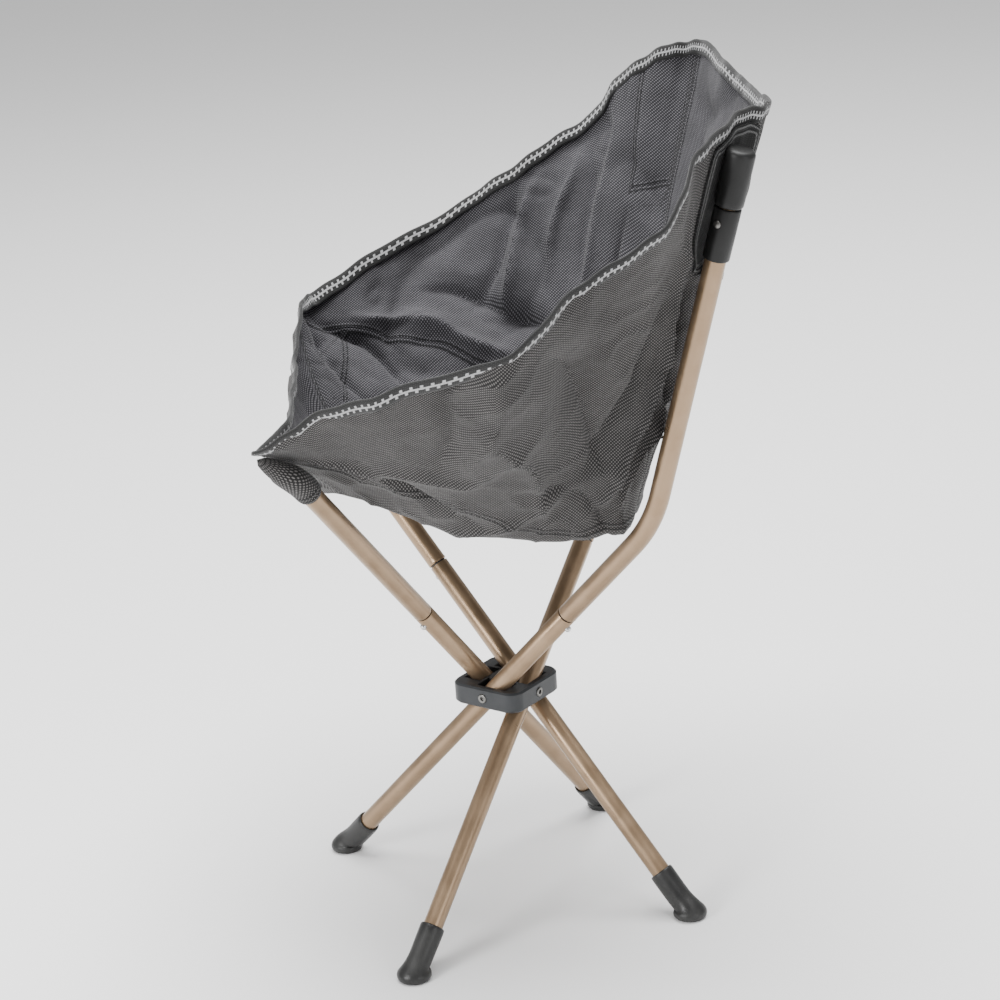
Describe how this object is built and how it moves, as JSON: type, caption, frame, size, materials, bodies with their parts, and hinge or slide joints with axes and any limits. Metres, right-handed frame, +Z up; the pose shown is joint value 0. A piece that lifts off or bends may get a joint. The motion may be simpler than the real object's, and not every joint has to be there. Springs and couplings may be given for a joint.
{
  "type": "folding sling chair",
  "caption": "Folding camp chair: crossed tubular legs pivoted in a square hub and opened by a hung fabric bucket seat.",
  "frame": {"origin": "on the ground, at the middle of the bounding box's footprint", "axes": "+Z up; the seat faces -Y; +X is the sitter's left"},
  "size_m": [0.644, 0.4968, 0.846],
  "materials": {
    "tube_paint": "satin champagne paint with a fine metallic grain",
    "hub_plastic": "moulded satin dark grey plastic",
    "bright_steel": "bright plated steel",
    "foot_rubber": "matte dark grey rubber with light dust",
    "black_plastic": "fine-grained black plastic",
    "sling_fabric": "two-tone coarse plain weave, dark grey with light flecks",
    "patch_fabric": "stiff black stitched webbing",
    "binding_tape": "folded black tape with a light grey zigzag stripe"
  },
  "bodies": {
    "hub": {"hub_block": "hub_plastic", "pivot_screw_front_left": "bright_steel", "pivot_screw_front_right": "bright_steel", "pivot_screw_rear_left": "bright_steel", "pivot_screw_rear_right": "bright_steel", "sling_side_left": "sling_fabric", "sling_side_right": "sling_fabric", "sling_back": "sling_fabric", "sling_front": "sling_fabric", "sling_floor": "sling_fabric", "rim_binding": "binding_tape", "corner_patch_left": "patch_fabric", "corner_patch_right": "patch_fabric"},
    "leg_front_left": {"lower_tube_front_left": "tube_paint", "upper_tube_front_left": "tube_paint", "foot_front_left": "foot_rubber", "tip_plug_front_left": "black_plastic", "tip_pocket_left": "sling_fabric", "button_spring_front_left": "bright_steel"},
    "button_front_left": {"snap_button_front_left": "bright_steel"},
    "leg_front_right": {"lower_tube_front_right": "tube_paint", "upper_tube_front_right": "tube_paint", "foot_front_right": "foot_rubber", "tip_plug_front_right": "black_plastic", "tip_pocket_right": "sling_fabric", "button_spring_front_right": "bright_steel"},
    "button_front_right": {"snap_button_front_right": "bright_steel"},
    "leg_rear_left": {"lower_tube_rear_left": "tube_paint", "upper_tube_rear_left": "tube_paint", "foot_rear_left": "foot_rubber", "post_ferrule_rear_left": "black_plastic", "ferrule_screw_rear_left": "bright_steel", "button_spring_rear_left": "bright_steel"},
    "button_rear_left": {"snap_button_rear_left": "bright_steel"},
    "leg_rear_right": {"lower_tube_rear_right": "tube_paint", "upper_tube_rear_right": "tube_paint", "foot_rear_right": "foot_rubber", "post_ferrule_rear_right": "black_plastic", "ferrule_screw_rear_right": "bright_steel", "button_spring_rear_right": "bright_steel"},
    "button_rear_right": {"snap_button_rear_right": "bright_steel"},
    "cap_rear_left": {"swivel_cap_rear_left": "black_plastic"},
    "cap_rear_right": {"swivel_cap_rear_right": "black_plastic"}
  },
  "joints": [
    {"name": "fold_front_left", "type": "hinge", "parent": "hub", "child": "leg_front_left", "pos_m": [-0.01581, -0.04127, 0.229], "axis": [-0.6428, -0.766, 0], "range_deg": [0, 30], "deforming": ["sling_side_left", "sling_side_right", "sling_back", "sling_front", "sling_floor", "rim_binding", "corner_patch_left", "corner_patch_right"]},
    {"name": "fold_front_right", "type": "hinge", "parent": "hub", "child": "leg_front_right", "pos_m": [-0.01884, -0.00662, 0.229], "axis": [-0.766, 0.6428, 0], "range_deg": [0, 30]},
    {"name": "fold_rear_left", "type": "hinge", "parent": "hub", "child": "leg_rear_left", "pos_m": [0.01884, -0.03824, 0.229], "axis": [0.766, -0.6428, 0], "range_deg": [0, 30]},
    {"name": "fold_rear_right", "type": "hinge", "parent": "hub", "child": "leg_rear_right", "pos_m": [0.01581, -0.00359, 0.229], "axis": [0.6428, 0.766, 0], "range_deg": [0, 30]},
    {"name": "press_front_left", "type": "slide", "parent": "leg_front_left", "child": "button_front_left", "axis": [-0.5755, 0.4829, 0.66], "range_m": [0, 0.0034], "stiffness_N_per_m": 300, "springref_m": -0.003, "deforming": ["button_spring_front_left"]},
    {"name": "press_front_right", "type": "slide", "parent": "leg_front_right", "child": "button_front_right", "axis": [0.4829, 0.5755, 0.66], "range_m": [0, 0.0034], "stiffness_N_per_m": 300, "springref_m": -0.003, "deforming": ["button_spring_front_right"]},
    {"name": "press_rear_left", "type": "slide", "parent": "leg_rear_left", "child": "button_rear_left", "axis": [-0.4624, -0.551, 0.6947], "range_m": [0, 0.0034], "stiffness_N_per_m": 300, "springref_m": -0.003, "deforming": ["button_spring_rear_left"]},
    {"name": "press_rear_right", "type": "slide", "parent": "leg_rear_right", "child": "button_rear_right", "axis": [0.551, -0.4624, 0.6947], "range_m": [0, 0.0034], "stiffness_N_per_m": 300, "springref_m": -0.003, "deforming": ["button_spring_rear_right"]},
    {"name": "swivel_rear_left", "type": "hinge", "parent": "leg_rear_left", "child": "cap_rear_left", "pos_m": [0.21956, 0.20096, 0.78763], "axis": [0.1879, 0.224, 0.9563], "range_deg": [-20, 20]},
    {"name": "swivel_rear_right", "type": "hinge", "parent": "leg_rear_right", "child": "cap_rear_right", "pos_m": [-0.22339, 0.19713, 0.78763], "axis": [-0.224, 0.1879, 0.9563], "range_deg": [-20, 20]}
  ],
  "couplings": [
    {"joint": "fold_front_right", "follows": "fold_front_left", "ratio": 1},
    {"joint": "fold_rear_left", "follows": "fold_front_left", "ratio": 1},
    {"joint": "fold_rear_right", "follows": "fold_front_left", "ratio": 1},
    {"joint": "swivel_rear_left", "follows": "fold_front_left", "ratio": 0.6},
    {"joint": "swivel_rear_right", "follows": "fold_front_left", "ratio": -0.6}
  ]
}
